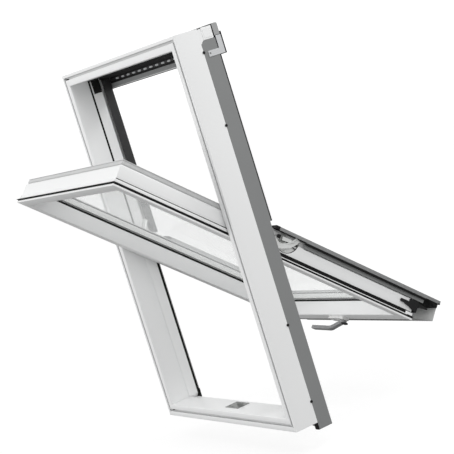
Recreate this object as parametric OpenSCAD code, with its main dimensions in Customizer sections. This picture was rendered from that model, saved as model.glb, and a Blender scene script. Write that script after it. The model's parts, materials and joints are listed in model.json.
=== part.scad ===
// Centre-pivot roof window: a fixed frame, a double-glazed sash and a pair of arc-slide hinges.
// Millimetres. X is the width, Y points outdoors, Z runs up the window.
// The origin is the middle of the frame's lower edge, on its interior face.

/* [Window] */
// Overall width of the fixed frame
win_w = 780; // [660:1:940]
// Overall height of the fixed frame
win_h = 1180; // [980:1:1420]
// How far the sash stands open from its closed place, in degrees
open_angle = 50; // [40:1:60]
// Depth of the white frame section, from the interior face outwards
frame_d = 106; // [102:1:108]

/* [Frame section] */
// Width of the frame's side members
stile_w = 37; // [34:0.5:42]
// Width of the frame's top member
head_w = 39; // [34:0.5:44]
// Width of the frame's bottom member
sill_w = 40; // [34:0.5:44]
// Width of the lining groove in the interior face
groove_w = 8.5; // [6:0.5:11]
// Depth of the lining groove
groove_d = 9; // [5:0.5:14]
// Sheet thickness of the outer cladding
clad_t = 1.5; // [1:0.1:2]
// How far the side cladding hangs below the frame
clad_drop = 22; // [10:1:30]

/* [Sash section] */
// Visible width of the sash's side and top members
sash_stile_w = 33; // [30:0.5:40]
// Visible width of the sash's bottom member
sash_bottom_w = 48; // [42:0.5:58]
// Running gap between the sash's flange and the frame's side members
side_gap = 2.5; // [2:0.1:4]
// Thickness of each pane
pane_t = 4; // [3:0.5:5]
// Width of the sealed space between the panes
spacer_t = 16; // [12:1:18]

/* [Handle] */
// Distance from the hub to the free end of the lever
lever_len = 164; // [130:1:190]
// How far the grip stands in front of the sash
lever_out = 42; // [34:1:50]

/* [Output] */
// Which piece to show

/* [Hidden] */

// Overlap used where one solid is cut through another
eps = 1;
// A depth beyond every piece, for cutting tools
far_y = 200;

// Frame
hw = win_w / 2;
ridge_w = 22;
ridge_y = frame_d + 16;
clad_top = ridge_y + clad_t;
clad_y = 77;
clad_lip = 3;
sash_set = 43.5;
cov_h = 10.5;
clad_end = win_h - 36;
block_y = 89;
groove_e = 9.5;
groove_eb = 15;

// Sash, measured from its centre, q outwards from its interior face
sash_w = win_w - 2 * (stile_w + side_gap);
sash_h = win_h - 102;
sw = sash_w / 2;
sh = sash_h / 2;
// The sash's interior face, set back from the frame's outer face
sash_y = frame_d - sash_set;

glass_q = 54;
glass_in = 10;
band_e = 6;
cap_e = 9;
cap_q = 66;
q_out = glass_q + 2 * pane_t + spacer_t;
cap_top = q_out + 4.5;
glass_e = sash_stile_w - glass_in;
glass_eb = sash_bottom_w - glass_in;

// Pivot axis, along X, outside the frame
q_piv = 127.9;
s_piv = 8;
piv_y = sash_y + q_piv;
piv_z = win_h / 2 + s_piv;

// Head casing: its depth in front of the cladding, and the apron that hangs from it
cas_d = 22.5;
apron_gap = 2.2;
apron_z = win_h - 85.5;

// Screw hole of the fixing bracket
hole_y = 96.7;
hole_z = win_h - 75.8;
hole_r = 2.8;

// Covers of the lower half of the sash
cov_top = cap_top + cov_h;
cov_out = 6;
cov_w = 30;
cov_end = -sh - 85;
flap_q = 25.5;
rail_q = 65;
rail_end = -98;

// Hinge pocket in the sash's side member
pocket_q = 72;
pocket_s = -37;
pocket_r = 44;

// Hub of the handle, on the sash's bottom member
hub_x = 22;
hub_s = 24 - sh;

// Arc slide, radii about the pivot axis
r_in = 84;
r_a = 88;
r_b = 98;
r_out = 101;
arc_span_f = 35;

// Colours
c_white = [0.93, 0.93, 0.92];
c_grey = [0.55, 0.56, 0.57];
c_dark = [0.22, 0.22, 0.23];
c_black = [0.05, 0.05, 0.05];
c_alu = [0.75, 0.76, 0.77];
c_steel = [0.66, 0.67, 0.66];
c_glass = [0.8, 0.9, 0.88, 0.35];
c_handle = [0.62, 0.63, 0.64];

// ---------- helpers ----------

// Upright bar: points are (distance in from the outer edge, Y)
module bar_z(pts, half, z0, z1) {
  translate([0, 0, z0]) linear_extrude(height = z1 - z0)
    polygon([for (p = pts) [half - p[0], p[1]]]);
}

// Level bar: points are (Y, Z), run along X between two places
module bar_x(pts, x0, x1) {
  translate([x0, 0, 0]) rotate([90, 0, 90]) linear_extrude(height = x1 - x0) polygon(pts);
}

// Prism with its outline in X and Z, running from y0 to y1
module slab_y(pts, y0, y1) {
  translate([0, y1, 0]) rotate([90, 0, 0]) linear_extrude(height = y1 - y0) polygon(pts);
}

module box(a, b) {
  translate(a) cube([b[0] - a[0], b[1] - a[1], b[2] - a[2]]);
}

module left_of() {
  mirror([1, 0, 0]) children();
}

module both() {
  children();
  mirror([1, 0, 0]) children();
}

// Sash coordinates: X, q, s
module in_sash(part = 1) {
  translate([0, piv_y, piv_z]) rotate([open_angle * part, 0, 0])
    translate([0, -q_piv, -s_piv]) children();
}

module disc_x(x0, x1, y, z, r, n = 24) {
  translate([x0, y, z]) rotate([0, 90, 0]) cylinder(h = x1 - x0, r = r, $fn = n);
}

module disc_y(y0, y1, x, z, r, n = 24) {
  translate([x, y0, z]) rotate([-90, 0, 0]) cylinder(h = y1 - y0, r = r, $fn = n);
}

// Part of a ring about the pivot, at x0 to x1, in sash coordinates.
// Angles turn from straight inwards (a = 0) towards the bottom of the window.
module arc_piece(x0, x1, ra, rb, a0, a1, steps = 24) {
  da = (a1 - a0) / steps;
  outer = [for (i = [0 : steps]) arc_pt(rb, a0 + i * da)];
  inner = [for (i = [steps : -1 : 0]) arc_pt(ra, a0 + i * da)];
  bar_x(concat(outer, inner), x0, x1);
}

function arc_pt(r, a) = [q_piv - r * cos(a), s_piv - r * sin(a)];

// Closed sash place, used for the frame's half of the hinges
module in_frame_hinge() {
  translate([0, sash_y, win_h / 2]) children();
}

// ---------- frame ----------

function stile_pts() = let (g = groove_w, a = groove_e) [
  [0, 0], [a, 0], [a, groove_d], [a + g, groove_d], [a + g, 0], [stile_w, 0],
  [stile_w, 66], [stile_w - 2, 66], [stile_w - 2, 72], [stile_w, 72],
  [stile_w, frame_d], [ridge_w, frame_d], [ridge_w, ridge_y], [clad_t, ridge_y],
  [clad_t, clad_y], [0, clad_y]];

module stile_mitre() {
  slab_y([[hw, 0], [hw, win_h], [hw - stile_w, win_h - head_w], [hw - stile_w, sill_w]], -eps, far_y);
}

module frame_stile() {
  color(c_white) difference() {
    intersection() {
      union() {
        bar_z(stile_pts(), hw, 0, win_h);
        // Above the cladding the side face runs out flush to the corner block
        bar_x([[clad_y - eps, win_h + eps], [clad_y - eps, clad_end - 9.7],
          [clad_y + 0.8, clad_end - 9.7], [clad_y + 10.8, clad_end + 0.3],
          [block_y, clad_end + 0.3], [block_y, win_h + eps]], hw - clad_t - eps, hw);
      }
      stile_mitre();
    }
    // The corner block takes the ridge's place at the top
    box([hw - ridge_w - eps, frame_d, clad_end], [hw + eps, far_y, win_h + eps]);
    box([hw - clad_t - eps, block_y, clad_end], [hw + eps, far_y, win_h + eps]);
  }
}

module frame_stile_right() {
  frame_stile();
}

module frame_stile_left() {
  left_of() frame_stile();
}

module frame_head() {
  zt = win_h;
  a = groove_e;
  color(c_white) difference() {
    intersection() {
      bar_x([[0, zt], [0, zt - a], [groove_d, zt - a], [groove_d, zt - a - groove_w],
        [0, zt - a - groove_w], [0, zt - head_w], [frame_d, zt - head_w],
        [frame_d, zt - ridge_w], [ridge_y, zt - ridge_w], [ridge_y, zt]], -hw, hw);
      slab_y([[-hw, zt], [hw, zt], [hw - stile_w, zt - head_w],
        [stile_w - hw, zt - head_w]], -eps, far_y);
    }
    both() box([hw - ridge_w, frame_d, clad_end - eps], [hw + eps, far_y, win_h + eps]);
    both() box([hw - clad_t, block_y, clad_end - eps], [hw + eps, far_y, win_h + eps]);
  }
}

module frame_sill() {
  a = groove_eb;
  color(c_white) intersection() {
    bar_x([[0, 0], [0, a], [groove_d, a], [groove_d, a + groove_w], [0, a + groove_w],
      [0, sill_w], [72, sill_w], [74, sill_w - 10], [frame_d, sill_w - 12],
      [frame_d, clad_t], [clad_y, clad_t], [clad_y, 0]], -hw, hw);
    slab_y([[-hw, 0], [hw, 0], [hw - stile_w, sill_w], [stile_w - hw, sill_w]], -eps, far_y);
  }
}

module side_cladding() {
  t = clad_t;
  color(c_grey) intersection() {
    union() {
      bar_z([[0, clad_y], [t, clad_y], [t, ridge_y], [ridge_w, ridge_y],
        [ridge_w, clad_top], [0, clad_top]], hw, -clad_drop, clad_end - 0.5);
      // Edge that stands up round the upper cover
      bar_z([[0, ridge_y], [0, clad_top + clad_lip], [t, clad_top + clad_lip], [t, ridge_y]],
        hw, piv_z + 0.4, clad_end - 0.5);
    }
    bar_x([[clad_y - eps, -clad_drop - eps], [far_y, -clad_drop - eps],
      [far_y, clad_end], [clad_y + 11, clad_end],
      [clad_y + 1, clad_end - 10], [clad_y - eps, clad_end - 10]], 0, hw + eps);
  }
}

module side_cladding_right() {
  side_cladding();
}

module side_cladding_left() {
  left_of() side_cladding();
}

module sill_cladding() {
  t = clad_t;
  x = hw - ridge_w - 0.5;
  y = frame_d;
  color(c_grey) bar_x([[clad_y, 0], [clad_y, t], [y, t], [y, sill_w - 14],
    [y + t, sill_w - 14], [y + t, 0]], -x, x);
}

// Sloping side cover of the upper half, with a lip down beside the sash
module upper_cover() {
  t = clad_t;
  w = stile_w + 3;
  y0 = clad_top;
  lip_y = frame_d + 7;
  leg = y0 + clad_lip;
  top = [[0, leg], [0, leg + 4], [w - 4, y0 + 22], [w, y0 + 19.5],
    [w, y0 + 8], [w - t, y0 + 8], [w - t, y0 + 18.5], [w - 4, y0 + 20.3],
    [t, leg + 2.5], [t, leg]];
  color(c_dark) union() {
    bar_z(top, hw, piv_z + 0.4, win_h - 32);
    box([hw - w, lip_y, piv_z + 62], [hw - w + t, y0 + 9, win_h - 40]);
    box([hw - w, lip_y + 3, piv_z + 62], [hw - w + 3.5, lip_y + 3 + t, win_h - 40]);
  }
}

module upper_cover_right() {
  upper_cover();
}

module upper_cover_left() {
  left_of() upper_cover();
}

module head_end_blocks() {
  color(c_white) both() union() {
    box([hw - ridge_w, frame_d, clad_end], [hw, clad_top, win_h]);
    box([hw - clad_t, block_y, clad_end], [hw, frame_d + eps, win_h]);
  }
}

module head_casing() {
  t = clad_t;
  y0 = clad_top;
  y1 = y0 + cas_d;
  zb = win_h + 4;
  xf = hw - ridge_w - 1;
  color(c_alu) union() {
    // Outer sheet: a level top, a rounded corner and an upright front
    bar_x([[y0 + 4, zb], [y1 - 3, zb], [y1, zb - 3], [y1, win_h - 31], [y1 - t, win_h - 31],
      [y1 - t, zb - 3.6], [y1 - 3.6, zb - t], [y0 + 4, zb - t]], -hw, hw);
    // Foot on the frame's top ridge
    bar_x([[y0 - t, win_h - 3], [y0 - t, win_h - 20], [y0, win_h - 20], [y0, win_h - 14],
      [y1 - t + 0.2, win_h - 14], [y1 - t + 0.2, win_h - 11], [y0, win_h - 11],
      [y0, win_h - 3]], -xf, xf);
    // End walls
    both() bar_x([[y0 + 4, zb], [y0 + 4, win_h - 31], [y1, win_h - 31], [y1, zb - 3],
      [y1 - 3, zb]], hw - t, hw);
  }
}

// Dark apron hanging from the casing over the top of the sash
module casing_apron() {
  y = clad_top + cas_d;
  color(c_dark) union() {
    box([-hw - 1.5, y + apron_gap, apron_z], [hw + 1.5, y + apron_gap + 2, win_h - 23]);
    box([-hw + 6, y, win_h - 30], [hw - 6, y + apron_gap + 0.2, win_h - 25]);
    box([-hw - 1.5, y + apron_gap - 1, apron_z - 1.5], [hw + 1.5, y + apron_gap + 2, apron_z]);
  }
}

// Ventilation bar behind the casing, with a row of slots
module vent_bar() {
  t = 2;
  y0 = clad_top + cas_d + apron_gap - t;
  za = apron_z + 3;
  zb = win_h - 40;
  xa = hw - stile_w - 3.2;
  n = floor((2 * xa - 40) / 40);
  color(c_dark) difference() {
    union() {
      box([-xa, y0, za], [xa, y0 + t, zb]);
      box([-xa, y0 - 1, zb - 2], [xa, y0 + t, zb + 1.5]);
    }
    for (i = [0 : n - 1])
      box([(i - (n - 1) / 2) * 40 - 12, y0 - eps, win_h - 62],
        [(i - (n - 1) / 2) * 40 + 12, y0 + t + eps, win_h - 54]);
  }
}

module frame_gasket() {
  za = piv_z + 4;
  zb = win_h - head_w;
  color(c_black) union() {
    both() box([hw - stile_w - 0.4, 66, za], [hw - stile_w + 2, 72, zb - 4.2]);
    box([stile_w + 0.5 - hw, 66, zb - 4], [hw - stile_w - 0.5, 72, zb]);
    both() box([hw - stile_w - 0.6, 66, zb - 4.4], [hw - stile_w + 0.0, 72, zb]);
  }
}

module lower_gasket() {
  y = frame_d;
  color(c_black) union() {
    bar_z([[24, y], [36, y], [36, y + 3], [34, y + 3], [34, y + 9], [31, y + 9],
      [31, y + 3], [24, y + 3]], hw, 52, piv_z - 10);
    box([hw - 36, y, 40.5], [hw - 24, y + 12, 52]);
  }
}

module lower_gasket_right() {
  lower_gasket();
}

module lower_gasket_left() {
  left_of() lower_gasket();
}

module corner_seals() {
  z0 = win_h - 86;
  color(c_black) both()
    box([hw - stile_w - 2.5, 76.5, z0], [hw - stile_w, frame_d - 1, win_h - head_w - 0.1]);
}

module bottom_end_seals() {
  color(c_black) both() bar_x([[61, 0], [clad_y, 0], [clad_y, -clad_drop], [74, -clad_drop],
    [73.5, -11], [61, -2]], hw - 18, hw);
}

module cladding_screws() {
  z = win_h;
  color(c_black) both() for (p = [z - 69.2, z - 281.9, 299.4, 64.7])
    disc_x(hw, hw + 1.4, clad_y, p, 4.2);
}

module keeper_plate() {
  z = sill_w;
  color(c_steel) difference() {
    union() {
      box([-38, 26, z], [38, 71, z + 1.5]);
      box([4, 46, z + 1.4], [40, 49, z + 12]);
      box([4, 46, z], [40, 49, z + 1.5]);
    }
    for (x = [-26, -8]) translate([x, 36, z - eps]) cylinder(h = 4, r = 2.4, $fn = 24);
  }
}

module keeper_screws() {
  color(c_steel) for (x = [-26, -8]) union() {
    translate([x, 36, sill_w]) cylinder(h = 1.5, r = 2.4, $fn = 24);
    translate([x, 36, sill_w + 1.5]) cylinder(h = 1.6, r1 = 4.2, r2 = 2.6, $fn = 24);
  }
}

// Fixing bracket on the side of the frame, with one free screw hole
module bracket() {
  t = 1.5;
  z = win_h;
  color(c_alu) difference() {
    bar_x([[91, z - 85], [146, z - 85], [146, z - 32], [129, z - 32], [129, z - 68],
      [91, z - 68]], hw, hw + t);
    disc_x(hw - eps, hw + t + eps, hole_y, hole_z, hole_r, 48);
  }
}

module bracket_right() {
  bracket();
}

module bracket_left() {
  left_of() bracket();
}

// Frame half of the hinge: a plate on the reveal with a raised outer rail
module frame_hinge() {
  x = hw - stile_w;
  color(c_steel) in_frame_hinge() difference() {
    union() {
      arc_piece(x - 2.2, x, r_in, r_out, -arc_span_f, arc_span_f);
      arc_piece(x - 5.2, x - 2.1, r_b + 0.3, r_out, -arc_span_f, arc_span_f);
      arc_piece(x - 2.2, x, r_out - 0.2, r_out + 9, -18, 18, 12);
    }
    for (a = [-13, 13]) translate([x - 4, arc_pt(r_out + 5, a)[0], arc_pt(r_out + 5, a)[1]])
      rotate([0, 90, 0]) cylinder(h = 6, r = 2.2, $fn = 24);
  }
}

module frame_hinge_right() {
  frame_hinge();
}

module frame_hinge_left() {
  left_of() frame_hinge();
}

module frame_hinge_screws() {
  x = hw - stile_w;
  color(c_steel) both() in_frame_hinge() for (a = [-13, 13])
    translate([x - 3, arc_pt(r_out + 5, a)[0], arc_pt(r_out + 5, a)[1]])
      rotate([0, 90, 0]) union() {
        cylinder(h = 0.8, r = 3.4, $fn = 24);
        cylinder(h = 3, r = 2.2, $fn = 24);
      }
}

// ---------- slider, turning half as far as the sash ----------

module hinge_slider() {
  x = hw - stile_w;
  color(c_steel) in_sash(0.5) arc_piece(x - 5.3, x - 2.5, r_a, r_b, -30, 60, 36);
}

module hinge_slider_right() {
  hinge_slider();
}

module hinge_slider_left() {
  left_of() hinge_slider();
}

// ---------- sash ----------

function sash_pts(w) = [
  [0, 0], [w, 0], [w, 48], [w - 12, 48], [w - 12, cap_q], [cap_e + 0.5, cap_q],
  [band_e, cap_q - 3.5], [band_e, 24.5], [band_e + 3, 24.5], [band_e + 3, 22],
  [2, 22], [2, 13], [band_e, 13], [band_e, 6], [0, 6]];

// Outline that the outer steps keep on all four sides, so they meet at the corners
module sash_outline() {
  rim = [for (p = sash_pts(sash_stile_w)) if (p[0] < cap_e + 1) p];
  last = len(rim) - 1;
  // From the outer end of the steps round to the interior face, then back on the other side
  up = [for (i = [1 : last]) rim[i], rim[0]];
  down = [for (i = [last : -1 : 0]) up[i]];
  wide = concat([for (p = up) [sw - p[0], p[1]]], [for (p = down) [p[0] - sw, p[1]]]);
  tall = concat([for (p = up) [p[1], sh - p[0]]], [for (p = down) [p[1], p[0] - sh]]);
  intersection() {
    translate([0, 0, -sh]) linear_extrude(height = 2 * sh) polygon(wide);
    bar_x(tall, -sw, sw);
  }
}

module sash_stile() {
  ws = sash_stile_w;
  wb = sash_bottom_w;
  color(c_white) in_sash() difference() {
    intersection() {
      sash_outline();
      bar_z(sash_pts(ws), sw, -sh, sh);
      slab_y([[sw, -sh], [sw, sh], [sw - ws, sh - ws], [sw - ws, wb - sh]], -eps, far_y);
    }
    // Half-round pocket for the hinge
    disc_x(sw - band_e - 6, sw + eps, pocket_q, pocket_s, pocket_r, 64);
  }
}

module sash_stile_right() {
  sash_stile();
}

module sash_stile_left() {
  left_of() sash_stile();
}

module sash_top_rail() {
  ws = sash_stile_w;
  color(c_white) in_sash() intersection() {
    sash_outline();
    bar_x([for (p = sash_pts(ws)) [p[1], sh - p[0]]], -sw, sw);
    slab_y([[-sw, sh], [sw, sh], [sw - ws, sh - ws], [ws - sw, sh - ws]], -eps, far_y);
  }
}

module sash_bottom_rail() {
  ws = sash_stile_w;
  wb = sash_bottom_w;
  color(c_white) in_sash() intersection() {
    sash_outline();
    bar_x([for (p = sash_pts(wb)) [p[1], p[0] - sh]], -sw, sw);
    slab_y([[-sw, -sh], [sw, -sh], [sw - ws, wb - sh], [ws - sw, wb - sh]], -eps, far_y);
  }
}

module pane(q, c) {
  g = glass_e;
  color(c) in_sash() box([g - sw, q, glass_eb - sh], [sw - g, q + pane_t, sh - g]);
}

module inner_pane() {
  pane(glass_q, c_glass);
}

module outer_pane() {
  pane(glass_q + pane_t + spacer_t, c_glass);
}

// Flat ring in the sash: outer and inner insets, then the two depths
module sash_ring(o, ob, i, ib, q0, q1) {
  difference() {
    box([o - sw, q0, ob - sh], [sw - o, q1, sh - o]);
    box([i - sw, q0 - eps, ib - sh], [sw - i, q1 + eps, sh - i]);
  }
}

module glass_spacer() {
  q = glass_q + pane_t;
  color(c_alu) in_sash()
    sash_ring(glass_e + 4, glass_eb + 4, glass_e + 15, glass_eb + 15, q, q + spacer_t);
}

module glazing_gasket_inner() {
  color(c_black) in_sash()
    sash_ring(glass_e, glass_eb, sash_stile_w - 1, sash_bottom_w - 1, 48, glass_q);
}

module glazing_gasket_outer() {
  color(c_black) in_sash()
    sash_ring(glass_e, glass_eb, sash_stile_w + 1, sash_bottom_w + 1, q_out, cap_top - 2.5);
}

function cap_pts(w) = [
  [cap_e, cap_q], [cap_e, cap_top], [w + 1, cap_top], [w + 1, cap_top - 2.5],
  [w - 12.5, cap_top - 2.5], [w - 12.5, cap_q], [w - 14.5, cap_q],
  [w - 14.5, cap_top - 2.5], [cap_e + 2, cap_top - 2.5], [cap_e + 2, cap_q]];

module cap_side() {
  a = sash_stile_w + 1;
  b = sash_bottom_w + 1;
  c = cap_e;
  color(c_alu) in_sash() intersection() {
    bar_z(cap_pts(sash_stile_w), sw, -sh, sh);
    slab_y([[sw - c, c - sh], [sw - c, sh - c], [sw - a, sh - a], [sw - a, b - sh]], -eps, far_y);
  }
}

module glazing_cap_right() {
  cap_side();
}

module glazing_cap_left() {
  left_of() cap_side();
}

module glazing_cap_top() {
  a = sash_stile_w + 1;
  c = cap_e;
  color(c_alu) in_sash() intersection() {
    bar_x([for (p = cap_pts(sash_stile_w)) [p[1], sh - p[0]]], -sw, sw);
    slab_y([[c - sw, sh - c], [sw - c, sh - c], [sw - a, sh - a], [a - sw, sh - a]], -eps, far_y);
  }
}

module glazing_cap_bottom() {
  a = sash_stile_w + 1;
  b = sash_bottom_w + 1;
  c = cap_e;
  color(c_alu) in_sash() intersection() {
    bar_x([for (p = cap_pts(sash_bottom_w)) [p[1], p[0] - sh]], -sw, sw);
    slab_y([[c - sw, c - sh], [sw - c, c - sh], [sw - a, b - sh], [a - sw, b - sh]], -eps, far_y);
  }
}

// Rubber seal round the sash, just outside its flange
module sash_gasket() {
  color(c_black) in_sash() difference() {
    box([-sw - 1.5, 6, -sh - 5], [sw + 1.5, 13, sh + 5]);
    box([band_e - sw, 5, band_e - sh], [sw - band_e, 14, sh - band_e]);
    // Step back the rubber that lies under the flange
    both() box([sw - 1, 5, -sh - 6], [sw + 2, 8, sh + 6]);
    box([-sw - 2, 5, sh - 1], [sw + 2, 8, sh + 6]);
    box([-sw - 2, 5, -sh - 6], [sw + 2, 8, 1 - sh]);
  }
}

module lower_rib_seals() {
  color(c_black) in_sash() both() difference() {
    box([sw - 2, 13.8, 30 - sh], [sw - 0.6, 24.2, 2]);
    for (q = [16, 19, 22]) box([sw - 1.2, q, 29 - sh], [sw, q + 0.9, 3]);
  }
}

// Side cover of the lower half of the sash
module sash_cover() {
  t = clad_t;
  w = cov_w;
  q = cap_top;
  color(c_alu) in_sash() union() {
    bar_z([[-cov_out, q], [-cov_out, cov_top], [w, cov_top], [w, cov_top - t],
      [t - cov_out, cov_top - t], [t - cov_out, q]], sw, cov_end + 2, 2);
    bar_z([[w, cov_top], [w, q], [w - t, q], [w - t, cov_top]], sw, 42 - sh, 2);
  }
}

module sash_cover_right() {
  sash_cover();
}

module sash_cover_left() {
  left_of() sash_cover();
}

// Dark rail that carries the side cover along the lower half
module cover_rails() {
  t = clad_t;
  q = cap_top;
  color(c_grey) in_sash() both() bar_z([[-cov_out, q - t], [-cov_out, q], [4, q],
    [4, rail_q], [4 - t, rail_q], [4 - t, q - t]], sw, -sh - 26, rail_end);
}

module cover_seals() {
  t = clad_t;
  color(c_black) in_sash() both()
    box([sw - 4 + t, cap_top - 6.5, -sh - 25], [sw + cov_out - 1, cap_top - t, rail_end - 1]);
}

module cover_end_caps() {
  t = clad_t;
  w = cov_w - t;
  color(c_black) in_sash() both() union() {
    bar_z([[t - cov_out, cap_top], [t - cov_out, cov_top - t], [w, cov_top - t],
      [w, cap_top]], sw, -14, 2.5);
    // Block that stands beyond the cover's upper end
    bar_z([[-cov_out, cap_top + 1.5], [-cov_out, cov_top - 1], [1 - cov_out, cov_top], [w, cov_top],
      [w, cap_top + 1.5]], sw, 2, 16);
  }
}

module bottom_cover() {
  t = clad_t;
  z = -sh;
  top = cov_top - t;
  x = sw + cov_out - t - 0.2;
  xf = sw - cov_w - 0.5;
  color(c_alu) in_sash() union() {
    // Sheet from the glazing cap out over the sill, widening beyond the side covers
    bar_x([[top, z - 85], [top, z + 40], [top - t, z + 40], [top - t, z - 85]], -xf, xf);
    bar_x([[top, z - 74], [top, z - 84], [top - t, z - 84], [top - t, z - 74]], -x, x);
    // Front flap with its lower edge turned in
    bar_x([[top - 0.2, z - 76], [flap_q, z - 76], [flap_q, z - 76 - t],
      [top - 0.2, z - 76 - t]], -sw, sw);
    bar_x([[flap_q, z - 76.2], [flap_q + t, z - 76.2], [flap_q + t, z - 70],
      [flap_q, z - 70]], -sw, sw);
    // Foot on the glazing cap
    bar_x([[cap_top, z + 30], [cap_top, z + 33], [top - t + 0.2, z + 33],
      [top - t + 0.2, z + 30]], -xf, xf);
  }
}

// Dark strip in the upper corner of the front flap
module front_seal() {
  z = -sh;
  t = clad_t;
  x = sw + cov_out - t - 0.4;
  color(c_black) in_sash() bar_x([[cov_top - 2 * t, z - 76], [cov_top - 2 * t, z - 30],
    [cov_top - 2 * t - 3, z - 30], [68, z - 68], [68, z - 76]], -x, x);
}

module corner_blocks() {
  color(c_black) in_sash() both() union() {
    // Block over the sash's corner, with a slanting lower edge and a finger up the side
    bar_x([[27, -sh - 7], [62, -sh - 7], [62, 24 - sh], [52, 25 - sh], [52, 58 - sh],
      [44, 58 - sh], [43, 44 - sh], [37, 20 - sh], [29, 1 - sh]], sw - band_e, sw + 1.5);
    box([sw - 40, 27, -sh - 7], [sw - band_e + 0.2, 60, -sh]);
    // Wedge that fills the side of the gap under the cover
    bar_x([[47, -sh - 6.5], [62, -sh - 6.5], [56, -sh - 50], [52, -sh - 50]], sw - 9, sw - 6);
  }
}

// Light plate lining the half-round pocket
module sash_hinge_plate() {
  x1 = sw - band_e - 4;
  color(c_steel) in_sash() intersection() {
    disc_x(sw - band_e - 6, x1, pocket_q, pocket_s, pocket_r - 0.3, 64);
    box([x1 - 3, 20, -90], [x1 + 1, cap_q - 0.3, 20]);
  }
}

module sash_hinge_plate_right() {
  sash_hinge_plate();
}

module sash_hinge_plate_left() {
  left_of() sash_hinge_plate();
}

// Sash half of the hinge: an arc with an inner rail, held by the pocket plate
module sash_hinge_arm() {
  x = hw - stile_w;
  xp = sw - band_e - 4;
  color(c_steel) in_sash() union() {
    arc_piece(x - 8.3, x - 5.6, r_in, r_out, -20, 60, 36);
    arc_piece(x - 5.7, x - 2.6, r_in, r_a - 0.3, -20, 60, 36);
    box([xp, 40, -38], [x - 8.2, 50, -24]);
    box([xp, 57, -62], [x - 8.2, 65, -48]);
    bar_x([[62, -40], [66, -74], [72, -74], [72, -20], [60, -20]], x - 8.3, x - 5.6);
  }
}

module sash_hinge_arm_right() {
  sash_hinge_arm();
}

module sash_hinge_arm_left() {
  left_of() sash_hinge_arm();
}

module sash_hinge_screws() {
  xp = sw - band_e - 4;
  color(c_steel) in_sash() both() for (p = [[36, -44], [54, -22]])
    disc_x(xp, xp + 1.6, p[0], p[1], 3.6);
}

// ---------- handle ----------

module handle_base() {
  color(c_white) in_sash() difference() {
    union() {
      slab_y([[-48, hub_s - 11], [-44, hub_s - 15], [hub_x + 9, hub_s - 15],
        [hub_x + 13, hub_s - 11], [hub_x + 13, hub_s + 11], [hub_x + 9, hub_s + 15],
        [-44, hub_s + 15], [-48, hub_s + 11]], -8, 0);
      disc_y(-10, -7.8, hub_x, hub_s, 13, 48);
    }
    disc_y(-11, -3, hub_x, hub_s, 6.3, 48);
    for (x = [-34, -6]) disc_y(-9, 1, x, hub_s, 2.2);
  }
}

module handle_screws() {
  color(c_steel) in_sash() for (x = [-34, -6]) union() {
    disc_y(-8, 0, x, hub_s, 2.2);
    disc_y(-9.4, -8, x, hub_s, 4.4);
  }
}

module handle_lever() {
  q = -lever_out;
  x = hub_x;
  xe = x - lever_len;
  z = hub_s;
  color(c_handle) in_sash() union() {
    disc_y(-20, -3.4, x, z, 6, 48);
    disc_y(-20, -10.4, x, z, 12.5, 48);
    translate([0, 0, z - 8]) linear_extrude(height = 16)
      polygon([[x, -11], [x + 4, -20], [-32, q + 0.5], [-42, q], [-42, q + 7], [-35, q + 7.5]]);
    translate([0, 0, z - 10]) linear_extrude(height = 20)
      polygon([[-36, q], [-40, q], [xe + 3, q + 2], [xe, q + 4], [xe, q + 9],
        [xe + 3, q + 10], [-44, q + 8], [-36, q + 8]]);
  }
}

// Hooked tongue turning with the lever
module latch_tongue() {
  z = hub_s;
  x = hub_x;
  color(c_black) in_sash() union() {
    slab_y([[x + 4.5, z - 7.5], [x + 12, z - 7.5], [x + 24, z - 6], [x + 30, z - 1],
      [x + 30, z + 4], [x + 24, z + 6], [x + 12, z + 7.5], [x + 4.5, z + 7.5]], -24.5, -20);
  }
}

// ---------- output ----------
frame_head();
frame_sill();
frame_stile_left();
frame_stile_right();
side_cladding_left();
side_cladding_right();
sill_cladding();
upper_cover_left();
upper_cover_right();
head_casing();
casing_apron();
vent_bar();
head_end_blocks();
frame_gasket();
lower_gasket_left();
lower_gasket_right();
corner_seals();
bottom_end_seals();
cladding_screws();
keeper_plate();
keeper_screws();
bracket_left();
bracket_right();
frame_hinge_left();
frame_hinge_right();
frame_hinge_screws();
hinge_slider_left();
hinge_slider_right();
sash_top_rail();
sash_bottom_rail();
sash_stile_left();
sash_stile_right();
inner_pane();
outer_pane();
glass_spacer();
glazing_gasket_inner();
glazing_gasket_outer();
glazing_cap_top();
glazing_cap_bottom();
glazing_cap_left();
glazing_cap_right();
sash_gasket();
lower_rib_seals();
sash_cover_left();
sash_cover_right();
cover_rails();
cover_seals();
cover_end_caps();
bottom_cover();
front_seal();
corner_blocks();
sash_hinge_plate_left();
sash_hinge_plate_right();
sash_hinge_arm_left();
sash_hinge_arm_right();
sash_hinge_screws();
handle_base();
handle_screws();
handle_lever();
latch_tongue();
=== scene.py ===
# %% [markdown]
# # A centre-pivot roof window
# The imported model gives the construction: where every piece sits, how the sash turns, where the
# sliders run. This script gives each visible piece its real section, its rounded edges, its ribs
# and its finish. It first loads the frame and keeps the model's box, so that nothing grows.

# %% Load the frame
import json
import math

import bmesh
import bpy
import numpy as np
from mathutils import Matrix, Vector

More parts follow.
